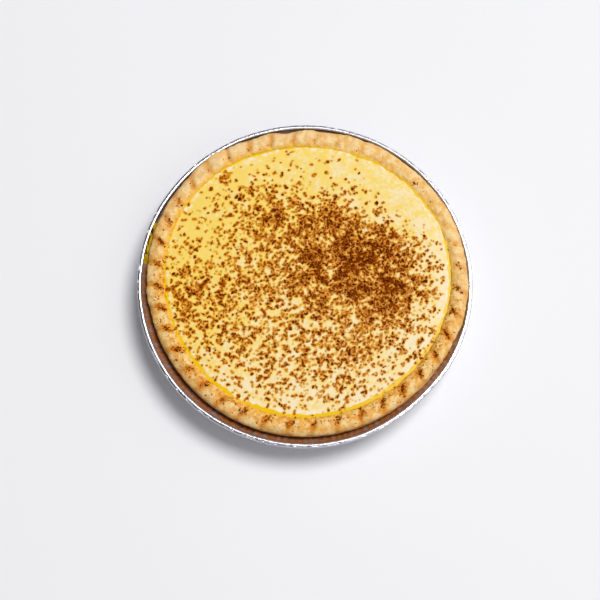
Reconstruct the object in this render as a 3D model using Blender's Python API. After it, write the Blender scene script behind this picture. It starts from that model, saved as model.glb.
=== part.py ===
"""A custard tart in its own foil dish.

A pressed foil dish with a rolled rim holds a shortcrust shell with a crimped edge, and the shell holds a set
custard. Ground cinnamon lies on the custard, and its largest clumps are part of the custard's solid.

Metres, +Z up. The origin is the middle of the dish's underside, and the front of the tart faces -Y.
"""

import math
import random

import bmesh
import bpy
from mathutils import Matrix, Vector, noise

# Foil dish
DISH_RADIUS = 0.110          # to the outside of the rolled rim
DISH_HEIGHT = 0.028
DISH_BASE_RADIUS = 0.086     # where the wall would meet the underside without its fillet
BEAD_WIDTH = 0.0036          # the rolled rim, seen from above
BEAD_HEIGHT = 0.0028
FOIL = 0.0005                # real foil is about 0.1 mm
BASE_FILLET = 0.003
PLEATS = 60                  # upright wrinkles that drawing the foil leaves in the wall
PLEAT_DEPTH = 0.0004
PLEAT_FADE = 0.006           # the pleats grow from the base over this height

# Shortcrust shell, measured from its own middle
CRUST_BASE_RADIUS = 0.0805
CRUST_RADIUS = 0.1031        # outer edge of the crimped rim
CRUST_INNER_RADIUS = 0.0935  # where the custard meets the rim
CRUST_TOP = 0.0322
CRUST_FLOOR = 0.004          # thickness of the pastry under the custard
CRUST_OFFSET = Vector((0.0014, 0.0022, 0.0))    # it has slid to the back right of its dish
OUT_OF_ROUND = ((2, 0.0009, -0.0002), (3, 0.0005, 0.0009))    # harmonic, cosine and sine part
SAG = 0.0016                 # the rim's outer side slumped outward by this much at the front left
SAG_TURN = math.radians(240)
SAG_HEIGHT = 0.0150          # it slumped only above this

# Crimps round the rim
CRIMPS = 40
CRIMP_START = 0.51           # in crimps
CRIMP_DRIFT = 0.17           # the spacing drifts by this many crimps on the way round
CRIMP_DRIFT_TURN = math.radians(85)
CRIMP_SLANT = math.radians(1.1)    # each groove leans by this much either side of the rim's middle
CRIMPING_HEIGHT = 0.0245     # the outside of the rim is crimped above this
GROOVE_DEPTH = 0.0017        # in the middle of the rim
GROOVE_FADE = 0.6            # a groove loses this share of its depth at the rim's edges
GROOVE_WIDTH = 0.14          # in crimps
LOBE_SWELL = 0.0006          # how far a lobe bulges out, and in over the custard
LOBE_UNEVENNESS = 0.0004

# Custard
CUSTARD_EDGE = 0.0289        # height at which it meets the pastry
CUSTARD_TOP = 0.0300
CUSTARD_WAVE = 0.00025
CUSTARD_WAVE_LENGTH = 0.030

# Cinnamon clumps fused to the custard
CLUMPS = 80
CLUMP_RADIUS = (0.0006, 0.0013)
CLUMP_HEIGHT = 0.55          # share of its radius
CLUMP_REACH = 0.086          # none lies further out than this
CLUMP_TRIES = 4000
DUSTING = (                  # x, y, spread and weight of each shake of the cinnamon
    (0.030, 0.012, 0.026, 1.0),
    (0.008, 0.036, 0.024, 0.7),
    (-0.020, 0.046, 0.016, 0.4),
    (0.055, 0.000, 0.020, 0.6),
    (0.010, -0.030, 0.050, 0.35),
    (-0.040, -0.010, 0.040, 0.2),
)

GAP = 0.0003                 # between solids that touch
RIM_MIDDLE = (CRUST_RADIUS + CRUST_INNER_RADIUS) / 2
RIM_HALF_WIDTH = (CRUST_RADIUS - CRUST_INNER_RADIUS) / 2
CRUST_UNDERSIDE = FOIL + GAP
CRUST_INSIDE = CRUST_UNDERSIDE + CRUST_FLOOR
CRUST_CORNER_RADIUS = 0.0755     # inside, where the wall rises from the floor
CRUST_WALL_BEND = (0.0872, 0.0150)    # the inner wall is steeper above this radius and height
CUSTARD_SIDE_GAP = 1.6 * GAP     # level, because the wall leans
DISH_COLUMNS = 2 * PLEATS
CRUST_COLUMNS = 5 * CRIMPS
CUSTARD_COLUMNS = 80
SHARP_ANGLE = math.radians(40)
WELD = 1e-6


def clear_scene():
    for obj in list(bpy.data.objects):
        bpy.data.objects.remove(obj)


def material(name, colour, roughness, metallic=0.0):
    made = bpy.data.materials.new(name)
    made.use_nodes = True
    shader = made.node_tree.nodes["Principled BSDF"]
    shader.inputs["Base Color"].default_value = (*colour, 1.0)
    shader.inputs["Roughness"].default_value = roughness
    shader.inputs["Metallic"].default_value = metallic
    return made


def smooth_step(low, high, value):
    share = min(1.0, max(0.0, (value - low) / (high - low)))
    return share * share * (3 - 2 * share)


def arc(centre, radii, start, end, steps):
    """Points of an elliptical arc in the (radius, height) plane, both ends included. Angles are in degrees."""
    turns = [math.radians(start + (end - start) * i / steps) for i in range(steps + 1)]
    return [(centre[0] + radii[0] * math.cos(t), centre[1] + radii[1] * math.sin(t)) for t in turns]


def turned(name, profile, columns, look, shape=None):
    """A solid turned about +Z from (radius, height) points that start and end on the axis.

    shape, if given, moves each of its points.
    """
    mesh = bmesh.new()
    points = [mesh.verts.new((radius, 0, height)) for radius, height in profile]
    lines = [mesh.edges.new(ends) for ends in zip(points, points[1:])]
    bmesh.ops.spin(
        mesh, geom=points + lines, axis=(0, 0, 1), cent=(0, 0, 0),
        angle=2 * math.pi, steps=columns, use_merge=True,
    )
    bmesh.ops.remove_doubles(mesh, verts=mesh.verts, dist=WELD)
    if shape:
        for vertex in mesh.verts:
            vertex.co = shape(vertex.co)
    bmesh.ops.recalc_face_normals(mesh, faces=mesh.faces)
    obj = bpy.data.objects.new(name, bpy.data.meshes.new(name))
    mesh.to_mesh(obj.data)
    mesh.free()
    obj.data.shade_smooth()
    obj.data.set_sharp_from_angle(angle=SHARP_ANGLE)
    obj.data.materials.append(look)
    bpy.context.scene.collection.objects.link(obj)
    return obj


# Foil dish

BEAD_CENTRE = (DISH_RADIUS - BEAD_WIDTH / 2, DISH_HEIGHT - BEAD_HEIGHT / 2)
WALL_TOP = (DISH_RADIUS - BEAD_WIDTH, BEAD_CENTRE[1])    # the inner face's upper end
WALL_RUN = WALL_TOP[0] - DISH_BASE_RADIUS + FOIL
WALL_RISE = WALL_TOP[1] - FOIL
WALL_LEAN = math.atan2(WALL_RUN, WALL_RISE)              # from upright
WALL_ACROSS = FOIL / math.cos(WALL_LEAN)                 # the wall's thickness, measured level


def base_corner(radius, height, fillet):
    """The rounded corner between a level face and the leaning wall: from the level face to the wall."""
    turn = math.pi / 2 - WALL_LEAN
    setback = fillet * math.tan(turn / 2)
    centre = (radius - setback, height + fillet)
    return arc(centre, (fillet, fillet), -90, -90 + math.degrees(turn), 2)


def pleated(point):
    """Moves a point of the plain dish in or out by the pleats, which leave its base and rim smooth."""
    radius = math.hypot(point.x, point.y)
    under_bead = 1 - smooth_step(BEAD_CENTRE[1] - BEAD_HEIGHT, BEAD_CENTRE[1] - BEAD_HEIGHT / 2, point.z)
    share = smooth_step(BASE_FILLET, BASE_FILLET + PLEAT_FADE, point.z) * under_bead
    wave = math.cos(PLEATS * math.atan2(point.y, point.x))
    scale = 1 + PLEAT_DEPTH * share * wave / max(radius, WELD)
    return Vector((point.x * scale, point.y * scale, point.z))


def foil_dish(look):
    """Base, leaning pleated wall and rolled rim, drawn from the middle of the underside round to the inside."""
    inner_corner = base_corner(DISH_BASE_RADIUS - FOIL, FOIL, BASE_FILLET - FOIL)
    outer_corner = base_corner(DISH_BASE_RADIUS - FOIL + WALL_ACROSS - FOIL * math.tan(WALL_LEAN), 0, BASE_FILLET)
    pleat_top = (BASE_FILLET + PLEAT_FADE, BEAD_CENTRE[1] - BEAD_HEIGHT)
    inner_wall = [(WALL_TOP[0] - (WALL_TOP[1] - height) * math.tan(WALL_LEAN), height) for height in pleat_top]
    outer_wall = [(radius + WALL_ACROSS, height) for radius, height in inner_wall]
    bead = arc(BEAD_CENTRE, (BEAD_WIDTH / 2, BEAD_HEIGHT / 2), -90, 180, 6)
    profile = [(0, 0), *outer_corner, *outer_wall, *bead, *reversed(inner_wall), *reversed(inner_corner), (0, FOIL)]
    return turned("foil_dish", profile, DISH_COLUMNS, look, pleated)


# Shortcrust shell

def crimp_phase(turn):
    """How many crimps lie between the start and this angle. It is a whole number in the middle of a groove."""
    drift = CRIMP_START + CRIMP_DRIFT * math.cos(turn - CRIMP_DRIFT_TURN)
    return turn * CRIMPS / (2 * math.pi) - drift


def crimp_turn(phase):
    """The angle of that many crimps: crimp_phase the other way round, found by repeated substitution."""
    turn = 2 * math.pi * phase / CRIMPS
    for _ in range(12):
        turn += (phase - crimp_phase(turn)) * 2 * math.pi / CRIMPS
    return turn


def out_of_round(turn):
    return sum(c * math.cos(n * turn) + s * math.sin(n * turn) for n, c, s in OUT_OF_ROUND)


def sagged(point, radius, turn):
    """How far the rim's outer side slumped outward where the dish leaves it room."""
    share = smooth_step(RIM_MIDDLE, CRUST_RADIUS, radius + (CRUST_TOP - point.z) / 2)
    return SAG * share * smooth_step(SAG_HEIGHT, CRIMPING_HEIGHT, point.z) * (1 + math.cos(turn - SAG_TURN)) / 2


def lobe_sizes():
    """How much larger or smaller than the rest each lobe is, drawn once from a fixed seed."""
    draw = random.Random(7)
    return [draw.uniform(-LOBE_UNEVENNESS, LOBE_UNEVENNESS) for _ in range(CRIMPS)]


LOBE_SIZES = lobe_sizes()


def crimped(point):
    """Moves a point of the plain turned shell to where crimping and baking left it."""
    radius = math.hypot(point.x, point.y)
    if radius < WELD:
        return point.copy()
    phase = math.atan2(point.y, point.x) * CRIMPS / (2 * math.pi)
    turn = crimp_turn(phase)
    across = max(-1.2, min(1.2, (radius - RIM_MIDDLE) / RIM_HALF_WIDTH))
    low = CUSTARD_EDGE if across < 0 else CRIMPING_HEIGHT
    share = smooth_step(low, CRUST_TOP, point.z)
    groove = math.exp(-(((phase - round(phase)) / GROOVE_WIDTH) ** 2))
    size = LOBE_SIZES[math.floor(phase) % CRIMPS] * (1 - groove)
    depth = GROOVE_DEPTH * (1 - GROOVE_FADE * min(1.0, across * across))
    sag = sagged(point, radius, turn) if across > 0 else 0
    radius += sag + out_of_round(turn) * smooth_step(0, CUSTARD_EDGE, point.z)
    radius += (across * LOBE_SWELL * (1 - 2 * groove) + size) * share
    height = point.z + (size - depth * groove) * share
    turn -= CRIMP_SLANT * across * share
    return Vector((radius * math.cos(turn), radius * math.sin(turn), height))


def pastry_crust(look):
    """Base, leaning wall and rounded rim, drawn from the middle of the underside round to the inside."""
    outer_wall = [
        (CRUST_BASE_RADIUS, CRUST_UNDERSIDE),
        (CRUST_BASE_RADIUS + 0.0022, CRUST_UNDERSIDE + 0.0016),
        (0.0918, 0.0150),
        (0.0993, 0.0243),
        (CRUST_RADIUS - 0.0012, 0.0268),
    ]
    rim = [
        (CRUST_RADIUS, 0.0285),
        (CRUST_RADIUS - 0.0006, 0.0301),
        (CRUST_RADIUS - 0.0022, 0.0315),
        (RIM_MIDDLE, CRUST_TOP),
        (RIM_MIDDLE - 0.0024, 0.0317),
        (CRUST_INNER_RADIUS + 0.0008, 0.0306),
        (CRUST_INNER_RADIUS, CUSTARD_EDGE),
    ]
    inner_wall = [CRUST_WALL_BEND, (CRUST_CORNER_RADIUS, CRUST_INSIDE)]
    profile = [(0, CRUST_UNDERSIDE), *outer_wall, *rim, *inner_wall, (0, CRUST_INSIDE)]
    crust = turned("pastry_crust", profile, CRUST_COLUMNS, look, crimped)
    crust.location = CRUST_OFFSET
    return crust


# Custard

def custard_wave(x, y):
    """How far the set surface stands above its mean height there."""
    return CUSTARD_WAVE * noise.noise(Vector((x, y, 0)) / CUSTARD_WAVE_LENGTH)


def settled(point):
    """Moves a point of the plain turned custard: its side follows the shell, and its top is a little wavy."""
    radius = math.hypot(point.x, point.y)
    turn = math.atan2(point.y, point.x)
    widening = out_of_round(turn) * smooth_step(0, CUSTARD_EDGE, point.z)
    wider = radius + widening * min(1.0, radius / CRUST_CORNER_RADIUS)
    on_top = smooth_step(CUSTARD_EDGE, CUSTARD_TOP, point.z)
    height = point.z + custard_wave(point.x, point.y) * on_top
    return Vector((wider * math.cos(turn), wider * math.sin(turn), height))


def custard_body(look):
    """The custard without cinnamon, drawn from the middle of its underside round to its top."""
    rim_radius = CRUST_INNER_RADIUS - CUSTARD_SIDE_GAP
    side = [
        (CRUST_CORNER_RADIUS - 0.5 * GAP, CRUST_INSIDE + GAP),
        (CRUST_WALL_BEND[0] - CUSTARD_SIDE_GAP, CRUST_WALL_BEND[1]),
        (rim_radius, CUSTARD_EDGE - 0.0003),
    ]
    edge = [(rim_radius - 0.0006, CUSTARD_EDGE + 0.0001), (rim_radius - 0.0018, 0.0295), (0.089, 0.0299)]
    top = [(radius, CUSTARD_TOP) for radius in (0.074, 0.052, 0.026, 0)]
    profile = [(0, CRUST_INSIDE + GAP), *side, *edge, *top]
    body = turned("custard_filling", profile, CUSTARD_COLUMNS, look, settled)
    body.location = CRUST_OFFSET
    return body


def dusting(x, y):
    """How thickly the cinnamon lies there."""
    return sum(weight * math.exp(-((x - u) ** 2 + (y - v) ** 2) / (2 * spread**2)) for u, v, spread, weight in DUSTING)


def clump_places(draw):
    """Where the largest clumps lie: thick where the cinnamon is thick, and never on one another."""
    places = []
    for _ in range(CLUMP_TRIES):
        if len(places) == CLUMPS:
            break
        x, y = (draw.uniform(-CLUMP_REACH, CLUMP_REACH) for _ in range(2))
        radius = draw.uniform(*CLUMP_RADIUS)
        clear = all(math.hypot(x - u, y - v) > 1.4 * (radius + other) for u, v, other in places)
        if math.hypot(x, y) < CLUMP_REACH and clear and draw.random() < dusting(x, y):
            places.append((x, y, radius))
    return places


def clump(index, place, draw, look):
    """One rough flattened lump, sunk to its widest part in the custard."""
    x, y, radius = place
    mesh = bmesh.new()
    bmesh.ops.create_icosphere(mesh, subdivisions=1, radius=radius)
    for vertex in mesh.verts:
        vertex.co *= draw.uniform(0.75, 1.15)
    size = Matrix.Diagonal((draw.uniform(0.7, 1.2), 1.0, CLUMP_HEIGHT, 1.0))
    turn = Matrix.Rotation(draw.uniform(0, math.pi), 4, "Z")
    place_on_top = Matrix.Translation((x, y, CUSTARD_TOP + custard_wave(x, y)))
    bmesh.ops.transform(mesh, matrix=place_on_top @ turn @ size, verts=mesh.verts)
    obj = bpy.data.objects.new(f"clump_{index}", bpy.data.meshes.new(f"clump_{index}"))
    mesh.to_mesh(obj.data)
    mesh.free()
    obj.data.materials.append(look)
    obj.location = CRUST_OFFSET
    return obj


def custard_filling(look, cinnamon):
    """The custard with its largest clumps of cinnamon joined to it."""
    body = custard_body(look)
    heap = bpy.data.collections.new("cinnamon_clumps")
    bpy.context.scene.collection.children.link(heap)
    draw = random.Random(11)
    for index, place in enumerate(clump_places(draw)):
        heap.objects.link(clump(index, place, draw, cinnamon))
    join = body.modifiers.new("join_clumps", "BOOLEAN")
    join.operation = "UNION"
    join.operand_type = "COLLECTION"
    join.collection = heap
    join.solver = "EXACT"
    bpy.context.view_layer.objects.active = body
    bpy.ops.object.modifier_apply(modifier=join.name)
    for obj in list(heap.objects):
        bpy.data.objects.remove(obj)
    bpy.data.collections.remove(heap)
    return body


def main():
    clear_scene()
    foil = material("aluminium_foil", (0.80, 0.81, 0.82), 0.30, 1.0)
    pastry = material("baked_shortcrust", (0.78, 0.50, 0.20), 0.75)
    custard = material("set_custard", (0.90, 0.66, 0.19), 0.35)
    cinnamon = material("ground_cinnamon", (0.20, 0.06, 0.01), 0.9)
    foil_dish(foil)
    pastry_crust(pastry)
    custard_filling(custard, cinnamon)


main()
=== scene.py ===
# %% [markdown]
# # A custard tart in its foil dish
# The tart has three solids: a pressed foil dish, a shortcrust shell with a crimped rim, and the custard
# in it. They are known and fixed already, so this lesson dresses them. Each is replaced by a finer mesh
# of the same form with a finish of its own, and ground cinnamon is then shaken over the whole. Lengths
# are in metres, +Z is up, and the origin is the middle of the dish's underside.

# %% Load the fixed solids
import math
import random

import bmesh
import bpy
import numpy as np
from mathutils import Matrix, Vector, kdtree, noise
from mathutils.bvhtree import BVHTree


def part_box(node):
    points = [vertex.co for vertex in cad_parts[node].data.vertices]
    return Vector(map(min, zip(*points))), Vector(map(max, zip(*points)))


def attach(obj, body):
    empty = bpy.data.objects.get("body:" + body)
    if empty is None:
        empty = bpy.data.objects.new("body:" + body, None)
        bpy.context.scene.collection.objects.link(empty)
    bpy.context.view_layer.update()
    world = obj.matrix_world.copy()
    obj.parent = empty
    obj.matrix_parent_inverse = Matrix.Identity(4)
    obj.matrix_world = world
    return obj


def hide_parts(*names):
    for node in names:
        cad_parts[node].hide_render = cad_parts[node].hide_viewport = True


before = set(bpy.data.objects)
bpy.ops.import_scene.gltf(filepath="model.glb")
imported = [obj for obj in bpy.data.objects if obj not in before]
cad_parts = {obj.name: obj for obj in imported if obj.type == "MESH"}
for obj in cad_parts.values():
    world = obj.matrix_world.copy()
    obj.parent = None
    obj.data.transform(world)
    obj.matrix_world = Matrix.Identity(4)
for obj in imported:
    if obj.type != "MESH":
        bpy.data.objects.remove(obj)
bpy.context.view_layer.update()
MM = 0.001
for name in sorted(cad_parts):
    low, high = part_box(name)
    print(name, "is", [round(side / MM, 1) for side in high - low], "mm")

# %% [markdown]
# ## Small tools
# A colour is easiest to choose as an sRGB hex value, as a painting program shows it, but a shader works
# with linear light, so one function turns it. One more feeds a node: each input gets a plain value or the
# output that drives it. A third eases from 0 to 1, which is how one part of a form runs into the next.

# %% Colours, nodes and easing
def linear(colour):
    """A hex colour such as "F4C430" as linear red, green, blue and alpha."""
    shares = [int(colour[i : i + 2], 16) / 255 for i in (0, 2, 4)]
    return [*(s / 12.92 if s <= 0.04045 else ((s + 0.055) / 1.055) ** 2.4 for s in shares), 1.0]


def feed(tree, node, inputs):
    """Sets or links each input that is named or numbered."""
    for key, value in inputs.items():
        if isinstance(value, bpy.types.NodeSocket):
            tree.links.new(value, node.inputs[key])
        else:
            node.inputs[key].default_value = value


def add(tree, kind, inputs=None, **settings):
    """Adds a node with its settings and feeds it."""
    node = tree.nodes.new(kind)
    for key, value in settings.items():
        setattr(node, key, value)
    feed(tree, node, inputs or {})
    return node


def smooth_step(low, high, value):
    """0 at low, 1 at high, eased between and level beyond. Low may be the larger."""
    share = min(1.0, max(0.0, (value - low) / (high - low)))
    return share * share * (3 - 2 * share)


def heading(turn):
    """The level direction at that angle, one metre long."""
    return Vector((math.cos(turn), math.sin(turn), 0))


def wobble(point, size, seed=0.0):
    """Noise from about -1 to 1 whose bumps are about that size across."""
    return 1.6 * noise.noise(Vector(point) / size + Vector((seed, 1.7 * seed, 2.3 * seed)))


# %% [markdown]
# ## The nodes that every finish needs
# All the finishes below come from a few nodes: one colour turning into another, two values multiplied, a
# range turned into another range, noise with blots of a known size, and bumps. Patterns use the object's
# own coordinates, which are metres here, so a blot's size is a real one. What a shape's own code stored
# on its points is read by name.

# %% Materials from few nodes
def started(name):
    """A new material with its node tree, its shader and the place on the object."""
    made = bpy.data.materials.new(name)
    made.use_nodes = True
    tree = made.node_tree
    place = add(tree, "ShaderNodeTexCoord").outputs["Object"]
    return made, tree, tree.nodes["Principled BSDF"], place


def blend(tree, share, first, second):
    """One colour turning into another as the share goes from 0 to 1."""
    return add(tree, "ShaderNodeMix", {0: share, 6: first, 7: second}, data_type="RGBA").outputs[2]


def product(tree, first, second, clamped=False):
    inputs = {0: first, 1: second}
    return add(tree, "ShaderNodeMath", inputs, operation="MULTIPLY", use_clamp=clamped).outputs[0]


def weighed(tree, value, weight, rest):
    """The value times its weight, added to the rest."""
    return add(tree, "ShaderNodeMath", {0: value, 1: weight, 2: rest}, operation="MULTIPLY_ADD").outputs[0]


def ranged(tree, value, start, stop, low=0.0, high=1.0, kind="LINEAR"):
    """The value's range from start to stop turned into low to high, and level beyond."""
    inputs = {"Value": value, "From Min": start, "From Max": stop, "To Min": low, "To Max": high}
    return add(tree, "ShaderNodeMapRange", inputs, interpolation_type=kind).outputs[0]


def blots(tree, place, size, detail, roughness=0.5):
    """Noise from 0 to 1 whose blots are about that size across."""
    inputs = {"Vector": place, "Scale": 1 / size, "Detail": detail, "Roughness": roughness}
    return add(tree, "ShaderNodeTexNoise", inputs).outputs["Fac"]


def stored(tree, name):
    """What the shape's own code stored on its points under that name."""
    return add(tree, "ShaderNodeAttribute", attribute_name=name).outputs["Fac"]


def bumped(tree, height, strength, depth):
    inputs = {"Height": height, "Strength": strength, "Distance": depth}
    return add(tree, "ShaderNodeBump", inputs).outputs[0]


# %% [markdown]
# ## Colour that soaks in
# Cinnamon colours what it lies on as tea colours water. Each layer takes the same share of the light that
# is left: little of the red, a third of the green and most of the blue. So pale custard turns gold, then
# orange, then brown. The power of a colour below 1 does just that, with the strength of the stain as the
# exponent.

# %% Steeping
STEEPED = (0.88, 0.66, 0.30, 1.0)  # the share of red, green and blue that one layer of stain lets through


def steeped(tree, colour, strength):
    """The colour after that many layers of cinnamon stain."""
    layers = add(tree, "ShaderNodeGamma", {"Color": STEEPED, "Gamma": strength}).outputs[0]
    inputs = {0: 1.0, 6: colour, 7: layers}
    return add(tree, "ShaderNodeMix", inputs, data_type="RGBA", blend_type="MULTIPLY").outputs[2]


# %% [markdown]
# ## The camera
# The photograph looks steeply down. The dish's rim is a circle on the real thing and an ellipse in the
# picture, so the ellipse gives the view: its height over its width is the sine of the camera's elevation,
# and its width against the real 220 mm gives the lens for a chosen distance.

# %% Camera
FRAME_PIXELS = 600
RIM_PIXELS = 335.4  # width of the rim's ellipse in the picture
RIM_DIAMETER = 0.220
RIM_CENTRE = Vector((0.0, 0.0, 0.0266))
AIM = Vector((-0.0030, -0.0125, 0.0266))  # the tart sits a little above and right of the picture's middle
ELEVATION = math.radians(74)
DISTANCE = 0.9
SENSOR_MM = 36.0

scene = bpy.context.scene
camera = bpy.data.objects.new("camera", bpy.data.cameras.new("camera"))
scene.collection.objects.link(camera)
camera.location = RIM_CENTRE + DISTANCE * Vector((0, -math.cos(ELEVATION), math.sin(ELEVATION)))
camera.rotation_euler = (AIM - camera.location).to_track_quat("-Z", "Y").to_euler()
camera.data.sensor_width = SENSOR_MM
camera.data.lens = SENSOR_MM * (RIM_PIXELS / RIM_DIAMETER) * DISTANCE / FRAME_PIXELS
scene.camera = camera
print("lens", round(camera.data.lens, 1), "mm")

# %% [markdown]
# ## Table and light
# The shadow tells where the light is. It lies to the front left, so the light stands at the back right.
# It is as long as the dish is high and fades over its whole length, so the light is high and very wide.
# The rest comes from a room that is white on that side, dimmer on the other, and dark along its floor
# line. Foil shows only what it mirrors: in an all-white room it would look like paper.

# %% Table and light
TABLE_WIDTH = 12.0
KEY_TURN = math.radians(36)
KEY_ELEVATION = math.radians(69)
KEY_DISTANCE = 6.0
KEY_SIZE = 2.7
KEY_WATTS = 264.0
ROOM_TURN = math.radians(-20)
ROOM_DIM = 0.15
ROOM_BRIGHT = 0.72
ROOM_FOOT = 0.04  # share of the light that is left along the room's floor line

scene.view_settings.view_transform = "Standard"


def plain_material(name, colour, roughness):
    """A material with one colour and no pattern, for what isn't part of the tart."""
    made, tree, shader, _ = started(name)
    feed(tree, shader, {"Base Color": linear(colour), "Roughness": roughness})
    return made


mesh = bmesh.new()
bmesh.ops.create_grid(mesh, x_segments=1, y_segments=1, size=TABLE_WIDTH / 2)
table = bpy.data.objects.new("table", bpy.data.meshes.new("table"))
mesh.to_mesh(table.data)
mesh.free()
table.data.materials.append(plain_material("matt white table", "F1F1F3", 0.6))
scene.collection.objects.link(table)

key = bpy.data.objects.new("key_light", bpy.data.lights.new("key_light", "AREA"))
key.data.shape = "DISK"
key.data.size = KEY_SIZE
key.data.energy = KEY_WATTS
key.location = KEY_DISTANCE * Vector((
    math.cos(KEY_ELEVATION) * math.cos(KEY_TURN),
    math.cos(KEY_ELEVATION) * math.sin(KEY_TURN),
    math.sin(KEY_ELEVATION),
))
key.rotation_euler = (-key.location).to_track_quat("-Z", "Y").to_euler()
scene.collection.objects.link(key)

room = bpy.data.worlds.new("white_room")
room.use_nodes = True
scene.world = room
tree = room.node_tree
tree.nodes.clear()
way = add(tree, "ShaderNodeTexCoord").outputs["Generated"]
side = add(tree, "ShaderNodeVectorMath", {0: way, 1: heading(ROOM_TURN)}, operation="DOT_PRODUCT")
white = ranged(tree, side.outputs["Value"], -0.3, 0.5, ROOM_DIM, ROOM_BRIGHT, "SMOOTHSTEP")
height = add(tree, "ShaderNodeSeparateXYZ", {0: way}).outputs["Z"]
foot = ranged(tree, height, 0.1, 0.7, ROOM_FOOT, 1.0, "SMOOTHSTEP")
strength = product(tree, white, foot)
light = add(tree, "ShaderNodeBackground", {"Color": linear("FDFDFF"), "Strength": strength})
add(tree, "ShaderNodeOutputWorld", {"Surface": light.outputs[0]})

# %% [markdown]
# ## Turned shapes
# Dish and shell are nearly round, so each starts as a line of (radius, height) points that is turned
# about the middle. A few points say where the line goes. A smooth curve through them gives the many that
# a fine mesh needs. A spin of a thousand steps is slow, so a flat grid is wrapped round instead: its rows
# follow the line and its columns go round. Where the first and last column meet, and where the line ends
# on the axis, points are merged.

# %% Smooth lines and turned shapes
WELD = 1e-6


def flowing(points, spacing):
    """A smooth curve through the points, with one point about every spacing."""
    ends = [points[0], *points, points[-1]]
    line = []
    for before, start, stop, after in zip(ends, ends[1:], ends[2:], ends[3:]):
        before, start, stop, after = (Vector(p) for p in (before, start, stop, after))
        steps = max(1, round((stop - start).length / spacing))
        for step in range(steps):
            t = step / steps
            bend = 2 * before - 5 * start + 4 * stop - after
            twist = 3 * start - before - 3 * stop + after
            line.append(0.5 * (2 * start + (stop - before) * t + bend * t**2 + twist * t**3))
    return [*line, Vector(points[-1])]


def turned(profile, columns):
    """A bmesh of the profile turned about +Z, closed where the profile meets the axis."""
    mesh = bmesh.new()
    rows = len(profile) - 1
    bmesh.ops.create_grid(mesh, x_segments=columns, y_segments=rows, size=1.0)
    for vertex in mesh.verts:
        turn = vertex.co.x * math.pi
        radius, height = profile[round((vertex.co.y + 1) / 2 * rows)]
        vertex.co = (radius * math.cos(turn), radius * math.sin(turn), height)
    bmesh.ops.remove_doubles(mesh, verts=mesh.verts, dist=WELD)
    return mesh


def joined(obj, material):
    """Makes the object a part of the tart that rides on its one body."""
    obj.data.materials.append(material)
    scene.collection.objects.link(obj)
    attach(obj, "root")
    print(obj.name, "has", sum(len(face.vertices) - 2 for face in obj.data.polygons), "triangles")
    return obj


def piece(name, mesh, material):
    """Makes the bmesh a smooth piece of the tart with that material slot."""
    bmesh.ops.recalc_face_normals(mesh, faces=mesh.faces)
    obj = bpy.data.objects.new(name, bpy.data.meshes.new(name))
    mesh.to_mesh(obj.data)
    mesh.free()
    obj.data.shade_smooth()
    joined(obj, material)
    return obj


# %% [markdown]
# ## Aluminium foil
# A pie dish is pressed from soft aluminium sheet a tenth of a millimetre thick. Aluminium mirrors nearly
# all light, with a trace of blue. Pressing leaves it bright but not polished, so the roughness is about
# 0.3, and it varies where the sheet rubbed on the tool. Crinkles a millimetre across throw the light
# every way, and that is why foil looks white. Folds too fine for the mesh would swallow light, so their
# shade is painted: their places, the bead's inner edge at the front and its outer side are stored on its
# points and painted dark grey, as painted shade and painted dark reflection. Fat and egg that ran down the
# inner wall baked there to a thin brown film, which hides some of the metal; its brown also stands in for
# the pastry that the wall would mirror, so it is partly painted reflection.

# %% Foil material
CRINKLE = 1.0 * MM


def foil_material():
    """Bright crinkled metal, brown where the film with its painted reflection lies, and painted shade in
    its folds.
    """
    made, tree, shader, place = started("pressed aluminium foil")
    drops = product(tree, blots(tree, place, 2 * CRINKLE, 3.0), 2.5)
    film = product(tree, stored(tree, "film"), drops, clamped=True)
    # the film's brown is partly painted reflection of the pastry that the wall would mirror
    colour = blend(tree, film, linear("E4E2EA"), linear("A86C3E"))
    rubbed = blots(tree, place, 4 * CRINKLE, 3.0)
    feed(tree, shader, {
        # painted shade and painted dark reflection: grey where the folds and the bead's edges are
        "Base Color": blend(tree, stored(tree, "painted_fold_shade"), colour, linear("9A98A2")),
        "Metallic": ranged(tree, film, 0.0, 1.0, 1.0, 0.1),
        "Roughness": ranged(tree, rubbed, 0.0, 1.0, 0.2, 0.4),
        "Normal": bumped(tree, blots(tree, place, CRINKLE, 1.0), 0.5, 0.3 * MM),
    })
    return made


foil = foil_material()

# %% [markdown]
# ## The foil dish
# The press draws a flat disc of sheet down into a cup, and its edge is rolled outward into a bead that
# stiffens it. The plain dish is one turned line: from the middle of the underside out, up the outer wall,
# over the bead, down the inner wall and back to the middle.

# %% Dish form
DISH_RADIUS = 110 * MM
DISH_HEIGHT = 28 * MM
BASE_RADIUS = 86 * MM
BEAD_WIDTH = 3.2 * MM
BEAD_HEIGHT = 2.8 * MM
SHEET = 0.4 * MM  # the wall here, thinner than the solid's, which stays within it
DISH_COLUMNS = 1400
BEAD_MIDDLE = Vector((DISH_RADIUS - BEAD_WIDTH / 2, DISH_HEIGHT - BEAD_HEIGHT / 2))
WALL_LEAN = math.atan2(DISH_RADIUS - BEAD_WIDTH - BASE_RADIUS, BEAD_MIDDLE.y)


def wall_radius(height):
    """Radius of the dish's inner face at that height."""
    return DISH_RADIUS - BEAD_WIDTH - (BEAD_MIDDLE.y - height) * math.tan(WALL_LEAN)


def bead_point(degrees):
    """A point of the bead's section, in degrees up from its outermost one."""
    turn = math.radians(degrees)
    return BEAD_MIDDLE + Vector((BEAD_WIDTH / 2 * math.cos(turn), BEAD_HEIGHT / 2 * math.sin(turn)))


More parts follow.
